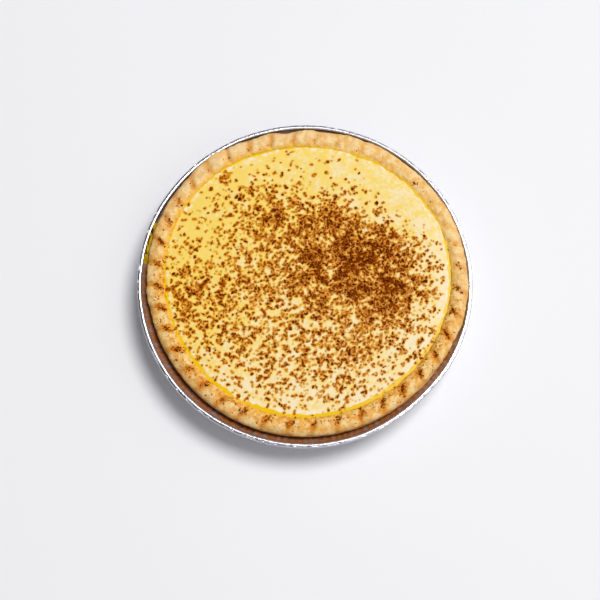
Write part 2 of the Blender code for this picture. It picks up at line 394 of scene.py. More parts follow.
def dish_profile():
    """From the middle of the underside out, up the wall, over the bead and down the inside."""
    level = SHEET / math.cos(WALL_LEAN)
    outside = [
        (BASE_RADIUS - 3.0 * MM, 0.0), (BASE_RADIUS - 1.0 * MM, 0.25 * MM),
        (BASE_RADIUS + 0.6 * MM, 1.3 * MM),
        *((wall_radius(h) + level, h) for h in (3 * MM, 10 * MM, 18 * MM, 24.5 * MM)),
    ]
    tuck = [
        (wall_radius(25.6 * MM) + level, 25.6 * MM),
        (BEAD_MIDDLE.x - 1.0 * MM, BEAD_MIDDLE.y - BEAD_HEIGHT / 2),
    ]
    turns = (*range(-80, 40, 16), *range(42, 92, 5), *range(102, 181, 13))
    bead = [bead_point(degrees) for degrees in turns]
    inside = [
        *((wall_radius(h), h) for h in (24.5 * MM, 18 * MM, 10 * MM, 4 * MM)),
        (BASE_RADIUS - 0.6 * MM, 1.7 * MM), (BASE_RADIUS - 2.4 * MM, 0.7 * MM),
        (BASE_RADIUS - 4.0 * MM, SHEET),
    ]
    base = [(radius * MM, 0.0) for radius in (20, 40, 60)]
    floor = [(radius, SHEET) for radius, _ in reversed(base)]
    wall = flowing([*outside, *tuck], 2.0 * MM)
    return [(0.0, 0.0), *base, *wall, *bead, *flowing(inside, 1.8 * MM), *floor, (0.0, SHEET)]


print("the dish's line has", len(dish_profile()), "points")

# %% [markdown]
# ## What pressing and baking did to the foil
# Drawn into a cup, the wall has to take up the spare sheet, so it stands in fine upright pleats, none
# quite like the next. Rolling leaves little dents and a crease along the bead's top. Pleats and dents are
# pressed in by moving the dish's points, because they follow the turn round it. Two more values are
# stored on each point: how much baked film lies there, whose brown is partly painted reflection of the
# pastry beside the wall, and how much painted shade darkens it at a fold.

# %% Pleats, dents, film with painted reflection, and painted fold shade
BASE_RIPPLE = 0.12 * MM
PLEATS = 150
PLEAT_DEPTH = 0.40 * MM
DENT_SPACING = 1.6 * MM
DENT_DEPTH = 0.06 * MM
CREASE_RADIUS = DISH_RADIUS - 1.05 * MM
CREASE_WIDTH = 0.34 * MM
CREASE_DEPTH = 0.26 * MM
TUCK_RADIUS = DISH_RADIUS - 2.9 * MM  # the bead's inner edge, where the roll begins
KNOCK_TURN = math.radians(313)  # a knock has pushed the rim in a little there
KNOCK_DEPTH = 1.3 * MM
KNOCK_WIDTH = math.radians(17)
# the film and its painted reflection follow these three values
FILM_AND_REFLECTION_TURN = math.radians(245)  # the film is thickest there, where the gap is widest
FILM_AND_REFLECTION_HEIGHT = (26.2 * MM, 27.8 * MM)
FILM_AND_REFLECTION_DROP = 2.4 * MM  # and its upper edge lies this much lower at the back


def pressed(point):
    """Moves a point of the plain dish to where pressing and rolling left it."""
    radius = math.hypot(point.x, point.y)
    if radius < BASE_RADIUS - 4 * MM:
        lift = BASE_RIPPLE * max(0.0, 1 + wobble(point, 9 * MM)) * smooth_step(0, 20 * MM, radius)
        return point + Vector((0, 0, lift))
    turn = math.atan2(point.y, point.x)
    on_wall = smooth_step(2 * MM, 8 * MM, point.z) * (1 - smooth_step(23 * MM, 26 * MM, point.z))
    on_bead = smooth_step(24.5 * MM, 26 * MM, point.z)
    round_place = heading(turn) * DISH_RADIUS
    drift = 0.9 * wobble(round_place, 14 * MM, 3.0)
    pleat = math.sin(PLEATS * turn + 2.2 * drift) * (0.65 + 0.5 * wobble(round_place, 8 * MM, 5.0))
    dent = wobble(round_place, DENT_SPACING, 9.0)
    crease = math.exp(-(((radius - CREASE_RADIUS) / CREASE_WIDTH) ** 2))
    crease *= 0.75 + 0.5 * wobble(round_place, 2 * DENT_SPACING, 13.0)
    from_knock = (turn - KNOCK_TURN + math.pi) % (2 * math.pi) - math.pi
    outward = PLEAT_DEPTH * pleat * on_wall
    outward += (0.5 * DENT_DEPTH * dent + 0.15 * MM * wobble(round_place, 22 * MM, 17.0)) * on_bead
    knock = KNOCK_DEPTH * math.exp(-((from_knock / KNOCK_WIDTH) ** 2))
    outward -= knock * smooth_step(8 * MM, 27 * MM, point.z)
    lift = -CREASE_DEPTH * crease * smooth_step(BEAD_MIDDLE.y, DISH_HEIGHT, point.z)
    lift += DENT_DEPTH * wobble(round_place + point * 0.3, DENT_SPACING, 21.0) * on_bead * 0.5
    scale = (radius + min(outward, DISH_RADIUS - radius)) / radius
    return Vector((point.x * scale, point.y * scale, point.z + lift))


def film_and_reflection_at(point):
    """How much baked film lies there, on the inner wall only; its brown is partly painted reflection of the
    pastry.
    """
    inner = wall_radius(point.z) + SHEET / 2 - math.hypot(point.x, point.y)
    turn = math.atan2(point.y, point.x)
    front = smooth_step(-0.6, 0.6, math.cos(turn - FILM_AND_REFLECTION_TURN))
    top = point.z + FILM_AND_REFLECTION_DROP * (1 - front)
    round_place = heading(turn) * DISH_RADIUS
    runs = 0.85 + 0.35 * wobble(round_place, 2.5 * MM, 25.0)
    band = smooth_step(3 * MM, 6 * MM, point.z) * (1 - smooth_step(*FILM_AND_REFLECTION_HEIGHT, top))
    return max(0.0, (0.6 + 0.4 * front) * runs * band) if inner > 0 else 0.0


def painted_fold_shade_at(point):
    """How much painted shade darkens the foil there: along the bead's crease, at its inner edge at the
    front, and as painted dark reflection on its outer side.
    """
    radius = math.hypot(point.x, point.y)
    place = point.normalized() * DISH_RADIUS
    dashes = smooth_step(-0.9, 0.5, wobble(place, 6 * MM, 101.0))
    breaks = smooth_step(-0.3, 0.7, wobble(place, 7 * MM, 103.0))
    line = dashes * math.exp(-(((radius - CREASE_RADIUS) / (0.8 * CREASE_WIDTH)) ** 2))
    # painted shade along the bead's inner edge, strongest at the front
    tuck = 0.7 * breaks * (1 - smooth_step(0.3 * DISH_RADIUS, 0.8 * DISH_RADIUS, point.y))
    line += tuck * math.exp(-(((radius - TUCK_RADIUS) / CREASE_WIDTH) ** 2))
    # painted dark reflection on the bead's outer side
    outer = smooth_step(DISH_RADIUS - 1.5 * MM, DISH_RADIUS - 0.6 * MM, radius)
    line += 0.25 * outer * (0.5 + 0.5 * dashes)
    return min(1.0, line) * smooth_step(BEAD_MIDDLE.y - 0.3 * MM, BEAD_MIDDLE.y + 0.4 * MM, point.z)


mesh = turned(dish_profile(), DISH_COLUMNS)
film = mesh.verts.layers.float.new("film")
# the painted shade of the folds is stored on each point
painted_fold_shade = mesh.verts.layers.float.new("painted_fold_shade")
for vertex in mesh.verts:
    # baked film, partly painted reflection, stored on each point
    vertex[film] = film_and_reflection_at(vertex.co)
    vertex[painted_fold_shade] = painted_fold_shade_at(vertex.co)
    vertex.co = pressed(vertex.co)
dish = piece("pressed_foil_dish", mesh, foil)
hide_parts("foil_dish")

# %% [markdown]
# ## Baked shortcrust
# Shortcrust is flour and fat with little water. It bakes matt and sandy, pale gold on top, browner in
# thin edges, and whitish where flour dusted it. Its colour wanders over a few millimetres, and crumbs of
# half a millimetre roughen it. Cinnamon that fell on it stains it orange-brown, and custard that soaked
# into its inner side turns it yellow. Where all this lies follows the crimps, so the shape's own code
# stores it on its points and the material reads it.

# %% Pastry material
MOTTLE = 5 * MM
CRUMB = 0.7 * MM
PORE = 1.6 * MM
GROOVE_LAYERS = 2.2  # layers of stain where cinnamon lies thick in a groove


def pastry_material():
    """Matt golden crust, mottled and crumbly, with what its points say lies on it."""
    made, tree, shader, place = started("baked shortcrust")
    mottle = blots(tree, place, MOTTLE, 3.0, 0.6)
    crumb = blots(tree, place, CRUMB, 2.0)
    pore = add(tree, "ShaderNodeTexVoronoi", {"Vector": place, "Scale": 1 / PORE}).outputs["Distance"]
    gold = ranged(tree, mottle, 0.40, 0.62, kind="SMOOTHSTEP")
    colour = blend(tree, gold, linear("FBDD9E"), linear("F3B452"))
    fleck = ranged(tree, crumb, 0.5, 0.68, 0.0, 0.55)
    colour = blend(tree, fleck, colour, linear("DD9A3C"))
    flour = product(tree, stored(tree, "floury"), mottle)
    colour = blend(tree, flour, colour, linear("F8DCB0"))
    colour = blend(tree, stored(tree, "browning"), colour, linear("DC9638"))
    colour = blend(tree, stored(tree, "soaked"), colour, linear("F8C250"))
    stain = product(tree, stored(tree, "cinnamon"), ranged(tree, crumb, 0.36, 0.64, 0.3, 1.7))
    height = weighed(tree, crumb, 0.8, ranged(tree, pore, 0.05, 0.3))
    feed(tree, shader, {
        "Base Color": steeped(tree, colour, product(tree, stain, GROOVE_LAYERS)),
        "Roughness": 0.65,
        "Specular IOR Level": 0.25,
        "Normal": bumped(tree, height, 0.6, 0.3 * MM),
    })
    return made


pastry = pastry_material()

# %% [markdown]
# ## Where the crimps lie
# The rim of the pastry was pinched all the way round, about forty times. The hand isn't a machine: the
# spacing drifts, each groove has its own depth, width and slant, and the ring baked a little out of round
# and lumpy at its outer edge. All of these are functions of the angle round the rim, so the grains of
# cinnamon can follow them too.

# %% Crimps
CRUST_RADIUS = 103.1 * MM
CRUST_INNER_RADIUS = 93.5 * MM
RIM_MIDDLE = (CRUST_RADIUS + CRUST_INNER_RADIUS) / 2
RIM_HALF_WIDTH = (CRUST_RADIUS - CRUST_INNER_RADIUS) / 2
OUT_OF_ROUND = ((2, 0.9 * MM, -0.2 * MM), (3, 0.5 * MM, 0.9 * MM))
CRIMPS = 40
CRIMP_START = 0.51
CRIMP_DRIFT = 0.17
CRIMP_DRIFT_TURN = math.radians(85)
FAINT_TURN = math.radians(48)  # the grooves are shallowest and cleanest at the back right
EDGE_LUMPS = (  # the outer edge's lumps: angle and half width in degrees, size in millimetres
    (48, 9, 0.5), (63, 7, 2.2), (77, 8, 2.2), (91, 6, 2.0), (105.5, 3.2, 1.8), (115, 5, 0.7),
    (129, 9, 2.0), (187, 8, 0.4), (321, 6, -0.9), (345, 5, 1.2), (356, 6, 0.9),
)


def crimp_phase(turn):
    """How many crimps lie between the start and this angle, a whole number in the middle of a groove."""
    drift = CRIMP_START + CRIMP_DRIFT * math.cos(turn - CRIMP_DRIFT_TURN)
    return turn * CRIMPS / (2 * math.pi) - drift


def crimp_turn(phase):
    """The angle of that many crimps."""
    turn = 2 * math.pi * phase / CRIMPS
    for _ in range(12):
        turn += (phase - crimp_phase(turn)) * 2 * math.pi / CRIMPS
    return turn


def out_of_round(turn):
    """How far the ring stands out from a true circle there."""
    return sum(c * math.cos(n * turn) + s * math.sin(n * turn) for n, c, s in OUT_OF_ROUND)


def apart(turn, other):
    """The angle between two directions, from minus to plus half a turn."""
    return (turn - other + math.pi) % (2 * math.pi) - math.pi


def back_right(turn):
    """1 at the back right of the rim, easing to 0 about 50 degrees to either side."""
    return 1 - smooth_step(math.radians(22), math.radians(55), abs(apart(turn, FAINT_TURN)))


def edge_lump(turn):
    """How far the lumps push the outer edge out there."""
    return MM * sum(
        size * math.exp(-((math.degrees(apart(turn, math.radians(at))) / width) ** 2))
        for at, width, size in EDGE_LUMPS
    )


def crimp_habits():
    """Each crimp's lobe size, groove depth, groove width and slant, drawn once from a fixed seed."""
    draw = random.Random(7)
    sizes = [draw.uniform(-0.4, 0.4) * MM for _ in range(CRIMPS)]
    return [
        (size, draw.uniform(0.75, 1.25), draw.uniform(0.8, 1.3), draw.uniform(0.5, 1.5))
        for size in sizes
    ]


HABITS = crimp_habits()
print("crimps are about", round(2 * math.pi * RIM_MIDDLE / CRIMPS / MM, 1), "mm apart")

# %% [markdown]
# ## The crimped shell
# Each pinch leaves a short slanting groove and pushes up a rounded lobe beside it. A turned rim whose
# points are moved by the distance to the nearest groove gives that, and the solid was made the same way.
# The shell also slid to the back right of its dish, and its outer side slumped where it had room.

# %% Shell form
CRUST_BASE_RADIUS = 80.5 * MM
CRUST_TOP = 32.2 * MM
CRUST_UNDERSIDE = 0.8 * MM
CRUST_INSIDE = 4.8 * MM
CRUST_OFFSET = Vector((1.4 * MM, 2.2 * MM, 0.0))
CUSTARD_EDGE = 28.9 * MM
CRIMP_SLANT = math.radians(1.4)
CRIMPING_HEIGHT = 24.5 * MM
GROOVE_DEPTH = 1.7 * MM
GROOVE_WIDTH = 0.12
LOBE_SWELL = 0.6 * MM
PADS_TURN = math.radians(145)  # the grooves part the rim into rounded pads at the back left
SAG = 1.6 * MM  # the rim's outer side slumped outward at the front left, where it had room
SAG_TURN = math.radians(240)
SAG_HEIGHT = 15 * MM
SLUMP = 0.5 * MM  # and its edge sank there a little
SIDE_TURN = math.radians(270)  # round there the rim's side stands upright instead of tucking in
SIDE_HEIGHTS = (19.5 * MM, 22.5 * MM)
SETTLE = 1.3 * MM  # the rim is lower at the back right
TOE = 0.8 * MM  # the rim's inner side runs out level over the custard
CRUST_COLUMNS = 25 * CRIMPS


def crust_profile():
    """From the middle of the underside out, up the wall, over the rim and down the inside."""
    wall = [
        (CRUST_BASE_RADIUS, CRUST_UNDERSIDE),
        (CRUST_BASE_RADIUS + 2.2 * MM, CRUST_UNDERSIDE + 1.6 * MM),
        (91.8 * MM, 15 * MM), (99.3 * MM, 24.3 * MM),
    ]
    rim = [
        (99.3 * MM, 24.3 * MM), (CRUST_RADIUS - 1.2 * MM, 26.8 * MM), (CRUST_RADIUS, 28.5 * MM),
        (CRUST_RADIUS - 0.6 * MM, 30.1 * MM), (CRUST_RADIUS - 2.2 * MM, 31.5 * MM), (RIM_MIDDLE, CRUST_TOP),
        (RIM_MIDDLE - 2.4 * MM, 31.7 * MM), (CRUST_INNER_RADIUS + 0.8 * MM, 30.6 * MM),
        (CRUST_INNER_RADIUS, CUSTARD_EDGE), (93.1 * MM, 28.0 * MM),
    ]
    inside = [(87.2 * MM, 15 * MM), (75.5 * MM, CRUST_INSIDE), (40 * MM, CRUST_INSIDE), (0.0, CRUST_INSIDE)]
    start = [(0.0, CRUST_UNDERSIDE), (40 * MM, CRUST_UNDERSIDE)]
    return [*start, *flowing(wall, 2.2 * MM)[:-1], *flowing(rim, 0.42 * MM), *inside]


def sagged(point, radius, turn):
    """How far the rim's outer side slumped outward there."""
    outer = smooth_step(RIM_MIDDLE, CRUST_RADIUS, radius + (CRUST_TOP - point.z) / 2)
    high = smooth_step(SAG_HEIGHT, CRIMPING_HEIGHT, point.z)
    return SAG * outer * high * (1 + math.cos(turn - SAG_TURN)) / 2


def upright(point, radius, turn):
    """How far the rim's side stands out below its edge, at the front, where the gap shows it."""
    if radius < RIM_MIDDLE - 4 * MM or point.z > 28.5 * MM:
        return 0.0
    front = smooth_step(-0.2, 0.5, math.cos(turn - SIDE_TURN))
    return front * max(0.0, CRUST_RADIUS - radius) * smooth_step(*SIDE_HEIGHTS, point.z)


def crimped(point):
    """Where crimping and baking left a point, how near it is to a groove, and its angle."""
    radius = math.hypot(point.x, point.y)
    if radius < WELD:
        return point.copy(), 0.0, 0.0
    phase = math.atan2(point.y, point.x) * CRIMPS / (2 * math.pi)
    turn = crimp_turn(phase)
    size, depth, width, slant = HABITS[round(phase) % CRIMPS]
    size = HABITS[math.floor(phase) % CRIMPS][0]
    across = max(-1.2, min(1.2, (radius - RIM_MIDDLE) / RIM_HALF_WIDTH))
    low = CUSTARD_EDGE - 0.4 * MM if across < 0 else CRIMPING_HEIGHT
    share = smooth_step(low, CRUST_TOP, point.z)
    to_groove = abs(phase - round(phase))
    groove = math.exp(-((to_groove / (GROOVE_WIDTH * width)) ** 1.6))
    pads = smooth_step(0.2, 1.0, math.cos(turn - PADS_TURN))
    reach = 0.85 + 0.4 * pads
    fade = (1 - 0.8 * back_right(turn)) * (1 - 0.35 * pads)
    groove_depth = GROOVE_DEPTH * depth * math.exp(-(((across + 0.2) / reach) ** 2)) * fade
    size *= 1 - groove
    swell = LOBE_SWELL * (0.45 if across > 0 else 1.0)
    radius += upright(point, radius, turn)
    if across > 0:
        lump_share = smooth_step(0, 0.8, across) * smooth_step(CRIMPING_HEIGHT, 28 * MM, point.z)
        radius += sagged(point, radius, turn) + edge_lump(turn) * lump_share
    radius += out_of_round(turn) * smooth_step(0, CUSTARD_EDGE, point.z)
    radius += (across * swell * (1 - 2 * groove * (1 - 0.7 * back_right(turn))) + size) * share
    radius -= TOE * smooth_step(-0.55, -1.0, across) * (1 - smooth_step(29.5 * MM, 31.5 * MM, point.z))
    height = point.z + (size - groove_depth * groove) * share - SETTLE * back_right(turn) * share
    height -= SLUMP * smooth_step(0.4, 1.0, across) * (1 + math.cos(turn - SAG_TURN)) / 2
    turn -= CRIMP_SLANT * (0.6 + 0.4 * slant) * across * share
    return Vector((radius * math.cos(turn), radius * math.sin(turn), height)), groove * share, turn


def baked(point):
    """The lumps and crumbs that baking leaves on the rim, as a move of that point."""
    share = smooth_step(20 * MM, 27 * MM, point.z)
    lumps = 0.30 * wobble(point, 7 * MM, 31.0) + 0.24 * wobble(point, 2.8 * MM, 37.0)
    crumbs = 0.09 * wobble(point, 1.1 * MM, 41.0)
    side = 0.28 * wobble(point, 4 * MM, 43.0) + 0.14 * wobble(point, 1.6 * MM, 47.0)
    out = Vector((point.x, point.y, 0)).normalized()
    return (Vector((0, 0, 1)) * (lumps + crumbs) + out * side) * MM * share


print("the shell's line has", len(crust_profile()), "points")

# %% [markdown]
# ## What lies on the rim
# Cinnamon gathered in the grooves, thickest at the front right. Baking browned the outer edge and the
# grooves, flour lies pale where hardly any cinnamon fell, and the inner side soaked up custard. Each is a
# value from 0 to 1, worked out where the crimp is known and stored on the point before it moves to its
# last place.

# %% Finish stored on the rim
CLEAN_TURN = math.radians(75)  # hardly any cinnamon fell on the rim there
THICK_TURN = math.radians(333)  # and the most there


def dusted_groove(turn):
    """How much cinnamon lies in the grooves at that angle: least at the back, most at the front right."""
    share = 0.12 + 0.88 * smooth_step(-0.6, 0.35, -math.cos(turn - CLEAN_TURN))
    return share * (1 + 0.4 * math.exp(-((apart(turn, THICK_TURN) / math.radians(15)) ** 2)))


mesh = turned(crust_profile(), CRUST_COLUMNS)
FINISHES = ("browning", "cinnamon", "soaked", "floury")
browning, cinnamon, soaked, floury = [mesh.verts.layers.float.new(name) for name in FINISHES]
for vertex in mesh.verts:
    place, groove, turn = crimped(vertex.co)
    across = (math.hypot(vertex.co.x, vertex.co.y) - RIM_MIDDLE) / RIM_HALF_WIDTH
    patch = 0.5 + 0.5 * wobble(place, 6 * MM, 51.0)
    dusted = dusted_groove(turn)
    outer = 0.35 * patch * smooth_step(0.2, 1.0, across)
    vertex[browning] = min(1.0, 0.75 * groove * (1 - 0.9 * back_right(turn)) + outer)
    inner = math.exp(-(((across + 0.2) / 0.62) ** 2))
    streaks = (0.8 + 0.6 * wobble(place, 1.6 * MM, 53.0)) * (0.8 + 0.7 * wobble(place, 11 * MM, 55.0))
    drift = max(0.0, 0.2 + wobble(place, 2.2 * MM, 57.0)) * smooth_step(1.1, -0.5, across)
    vertex[cinnamon] = max(0.0, min(1.0, dusted * (1.9 * groove * inner * streaks + 0.6 * drift)))
    edge = across + 0.25 * wobble(place, 3 * MM, 59.0)
    vertex[soaked] = (1 - smooth_step(-1.0, -0.45, edge)) * smooth_step(26 * MM, 28 * MM, vertex.co.z)
    clean = 0.75 * max(0.0, 1 - 0.8 * dusted) * (1 - 0.6 * back_right(turn))
    vertex[floury] = clean * smooth_step(-0.9, -0.2, across)
    vertex.co = place + baked(place) + CRUST_OFFSET
crust = piece("crimped_shortcrust", mesh, pastry)
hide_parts("pastry_crust")

# %% [markdown]
# ## The custard's surface
# Custard sets from the edge inward and forms a skin as it bakes. While it cools it shrinks from the
# pastry, so the pale skin ends in a soft lip, and a narrow moat of clear bright yellow shows round it. A
# square grid eased into a round sheet keeps its faces even all over, where a turned disc would crowd them
# in the middle. Its border is then drawn down the sides and closed below.

# %% Custard form
CUSTARD_TOP = 30.0 * MM
MOAT_LEVEL = 29.45 * MM
MOAT_TURN = math.radians(300)  # the moat is widest at the front right
CUSTARD_TUCK = 0.5 * MM  # the custard reaches this far into the pastry, so that no gap shows
GRID = 300


def custard_reach(turn):
    """Radius at which the custard meets the pastry, from the shell's own middle."""
    return CRUST_INNER_RADIUS + out_of_round(turn)


def lip_width(turn):
    """How wide the moat is there."""
    place = heading(turn) * CRUST_INNER_RADIUS
    wide = 1.95 + 0.55 * math.cos(turn - MOAT_TURN) - 0.6 * back_right(turn)
    wide += 0.9 * wobble(place, 9 * MM, 61.0) + 0.6 * wobble(place, 3 * MM, 67.0)
    return max(0.5, wide) * MM


def custard_surface(x, y):
    """Height of the custard there, and how far in from the skin's lip the place is."""
    radius = math.hypot(x, y)
    turn = math.atan2(y, x)
    inside = custard_reach(turn) - radius - lip_width(turn)
    skin = smooth_step(-0.5 * MM, 1.0 * MM, inside)
    lip = 0.11 * math.exp(-(((inside - 1.1 * MM) / (0.8 * MM)) ** 2))
    slope = 0.35 * smooth_step(0.0, 7 * MM, inside) - 0.35
    waves = 0.22 * wobble((x, y, 0), 30 * MM, 71.0) + 0.09 * wobble((x, y, 0), 9 * MM, 73.0)
    ripples = 0.05 * wobble((x, y, 0), 3.2 * MM, 79.0)
    height = MOAT_LEVEL + skin * (CUSTARD_TOP - MOAT_LEVEL + (lip + slope + waves + ripples) * MM)
    return height, inside


def open_edges(mesh):
    return [edge for edge in mesh.edges if edge.is_boundary]


def drawn_on(mesh):
    """Grows a row of faces from the mesh's border, and gives their new points."""
    grown = bmesh.ops.extrude_edge_only(mesh, edges=open_edges(mesh))["geom"]
    return [item for item in grown if isinstance(item, bmesh.types.BMVert)]


def custard_mesh():
    """The custard's surface, drawn down inside the pastry and closed below."""
    mesh = bmesh.new()
    bmesh.ops.create_grid(mesh, x_segments=GRID, y_segments=GRID, size=1.0)
    from_lip = mesh.verts.layers.float.new("from_lip")
    for vertex in mesh.verts:
        x = vertex.co.x * math.sqrt(1 - vertex.co.y**2 / 2)
        y = vertex.co.y * math.sqrt(1 - vertex.co.x**2 / 2)
        share = math.hypot(x, y)
        turn = math.atan2(y, x)
        radius = share * (1.22 - 0.22 * share**2) * (custard_reach(turn) + CUSTARD_TUCK)
        x, y = radius * math.cos(turn), radius * math.sin(turn)
        height, inside = custard_surface(x, y)
        vertex.co = Vector((x, y, height))
        vertex[from_lip] = inside / MM
    for scale, height in ((0.995, 27.5 * MM), (0.93, 15 * MM), (0.80, 5.1 * MM), (0.1, 5.1 * MM)):
        for vertex in drawn_on(mesh):
            turn = math.atan2(vertex.co.y, vertex.co.x)
            radius = scale * custard_reach(turn)
            vertex.co = Vector((radius * math.cos(turn), radius * math.sin(turn), height))
    bmesh.ops.holes_fill(mesh, edges=open_edges(mesh), sides=0)
    bmesh.ops.translate(mesh, vec=CRUST_OFFSET, verts=mesh.verts)
    return mesh


# %% [markdown]
# ## How the cinnamon fell
# The cinnamon was shaken from a spoon: thick in a swath from the back left to the right, thinner over the
# rest, and almost none along the back and the back right. A few broad round patches added together
# describe that better than any even scatter. Each says how much of the custard the spice hides there.

# %% Cover of cinnamon
PATCHES = (  # x, y, reach across and front to back in millimetres, and cover at its middle
    (5, -15, 70, 46, 0.37),
    (38, 11, 26, 20, 0.54),
    (12, 37, 26, 12, 0.28),
    (-24, 50, 15, 10, 0.32),
    (-76, -14, 14, 13, 0.24),
    (62, -12, 16, 18, 0.16),
    (22, -60, 24, 15, 0.08),
    (-55, 70, 3, 5, 0.30),
    (74, 56, 22, 20, -0.18),
    (92, -6, 12, 34, -0.18),
    (-58, 22, 18, 16, -0.05),
    (-24, -22, 16, 8, -0.12),
    (64, -66, 14, 12, -0.12),
)
MOST_COVER = 0.93
CLUMPING = 1.0  # how much the grains cling together instead of lying evenly


def cover(x, y):
    """The share of the surface that cinnamon and its stain hide at that place on the tart."""
    total = sum(
        share * math.exp(-((x / MM - u) ** 2) / (2 * a * a) - (y / MM - v) ** 2 / (2 * b * b))
        for u, v, a, b, share in PATCHES
    )
    drifts = 1 + 0.35 * wobble((x, y, 0), 12 * MM, 83.0) + 0.5 * wobble((x, y, 0), 5 * MM, 89.0)
    return max(0.0, min(MOST_COVER, total * drifts))


def crowding(x, y):
    """How many grains lie to an area there. They overlap, so it grows faster than the cover."""
    share = cover(x, y)
    clumps = math.exp(CLUMPING * (0.4 + share) * wobble((x, y, 0), 2.4 * MM, 97.0))
    return -math.log(1 - share) * clumps


print("cover in the thick", round(cover(0.036, 0.012), 2), "and at the back", round(cover(0, 0.08), 2))

# %% [markdown]
# ## Where each grain lies
# Ground cinnamon clings together, so it falls as single grains and as crooked strings and clumps of them.
# Each fall below starts at a place drawn at random, kept more often where the cover is thick, and wanders
# from it for one to twelve grains. Finer dust lies round them. A ray shot down from above then finds
# whether a grain lands on custard or on pastry, and how high.

# %% Dropping the grains
GRAINS = 24000
GRAIN_RADIUS = 0.305 * MM
DUST_SHARE = 0.8
STRING_STEP = 0.55 * MM
LONGEST_STRING = 12
MOAT_CLEAR = 0.75  # share of the falls that the moat has swallowed
DUST_SPREAD = 0.55 * MM
GROOVE_GRAINS = 85  # in a groove where cinnamon lies thick
LOBE_FALLS = 1700  # tries all round the rim, most of which miss where it is clean
DROP_HEIGHT = 60 * MM
REACH = 93 * MM
draw = random.Random(19)


def grain_radius():
    """A grain's radius, drawn at random: many small ones and a few large."""
    return min(1.15 * MM, max(0.16 * MM, GRAIN_RADIUS * math.exp(draw.gauss(0, 0.55))))


def falls():
    """Grains over the custard, each with its place, its radius and its tint from 0 to 1."""
    most = -math.log(1 - MOST_COVER) * math.exp(CLUMPING)
    grains = []
    while len(grains) < GRAINS:
        x, y = draw.uniform(-REACH, REACH), draw.uniform(-REACH, REACH)
        if math.hypot(x, y) > REACH or draw.random() * most > crowding(x, y):
            continue
        if custard_surface(x - CRUST_OFFSET.x, y - CRUST_OFFSET.y)[1] < 0 and draw.random() < MOAT_CLEAR:
            continue
        turn = draw.uniform(0, 2 * math.pi)
        tint = draw.betavariate(1.0, 1.7) * (1.15 - 0.55 * cover(x, y))
        for _ in range(min(LONGEST_STRING, 1 + int(draw.expovariate(0.5)))):
            grains.append((x, y, grain_radius(), tint + draw.gauss(0, 0.12)))
            turn += draw.gauss(0, 1.2)
            x += STRING_STEP * math.cos(turn)
            y += STRING_STEP * math.sin(turn)
    return grains


def groove_falls():
    """Grains that came to rest in the grooves of the rim, and a few on its lobes."""
    grains = []
    for crimp in range(CRIMPS):
        turn = crimp_turn(crimp)
        for _ in range(round(GROOVE_GRAINS * dusted_groove(turn) * draw.uniform(0.3, 1.3))):
            across = draw.gauss(-0.15, 0.32)
            along = draw.gauss(0, 0.08) * 2 * math.pi / CRIMPS
            radius = RIM_MIDDLE + out_of_round(turn) + across * RIM_HALF_WIDTH
            angle = turn + along - CRIMP_SLANT * across
            x, y = radius * math.cos(angle), radius * math.sin(angle)
            grains.append((x, y, 0.8 * grain_radius(), draw.random() * 0.4))
    for _ in range(LOBE_FALLS):
        turn = draw.uniform(0, 2 * math.pi)
        if draw.random() < dusted_groove(turn) - 0.08:
            radius = RIM_MIDDLE + draw.uniform(-1, 0.9) * RIM_HALF_WIDTH
            x, y = radius * math.cos(turn), radius * math.sin(turn)
            grains.append((x, y, 0.6 * grain_radius(), draw.random()))
    return [(x + CRUST_OFFSET.x, y + CRUST_OFFSET.y, *look) for x, y, *look in grains]


sheet = custard_mesh()
crust_points = [vertex.co for vertex in crust.data.vertices]
crust_faces = [face.vertices[:] for face in crust.data.polygons]
surfaces = [BVHTree.FromBMesh(sheet), BVHTree.FromPolygons(crust_points, crust_faces)]


def landed(grains):
    """The grains as (place, slope, radius, tint), each on the highest surface under it."""
    found = []
    for x, y, *look in grains:
        hits = [tree.ray_cast(Vector((x, y, DROP_HEIGHT)), Vector((0, 0, -1))) for tree in surfaces]
        hits = [hit for hit in hits if hit[0]]
        if hits:
            place, slope = max(hits, key=lambda hit: hit[0].z)[:2]
            found.append((place, slope if slope.z > 0 else -slope, *look))
    return found


custard_falls = falls()
custard_grains = landed(custard_falls)
rim_falls = groove_falls()
rim_grains = landed(rim_falls)
dust = landed([
    (x + draw.gauss(0, DUST_SPREAD), y + draw.gauss(0, DUST_SPREAD), 0.85 * grain_radius(), draw.random())
    for x, y, *_ in custard_falls + rim_falls if draw.random() < DUST_SHARE
])
print(len(custard_grains), "grains over the custard and", len(rim_grains), "over the rim")
print(len(dust), "specks of dust round them")

# %% [markdown]
# ## Stain round the grains
# Cinnamon draws water out of the custard and colours it orange-brown for about half a millimetre round
# each grain. The custard's mesh is fine enough to hold that: each of its points adds up what the grains
# near it give.

# %% Stain
STAIN_REACH = 2.0 * MM
STAIN_SPREAD = 0.56 * MM
STAIN_CONTRAST = 1.7  # single grains stain little, and grains close together much more


def stain_custard(mesh, grains):
    """Stores on each point of the mesh how much the grains near it stain it, from 0 to 1."""
    tree = kdtree.KDTree(len(grains))
    for index, (place, *_) in enumerate(grains):
        tree.insert(place, index)
    tree.balance()
    stain = mesh.verts.layers.float.new("stain")
    for vertex in mesh.verts:
        total = 0.0
        for _, index, distance in tree.find_range(vertex.co, STAIN_REACH):
            beyond = max(0.0, distance - 0.7 * grains[index][2])
            total += 0.8 * math.exp(-((beyond / STAIN_SPREAD) ** 2))
        vertex[stain] = 1 - math.exp(-(total**STAIN_CONTRAST))


stain_custard(sheet, custard_grains)

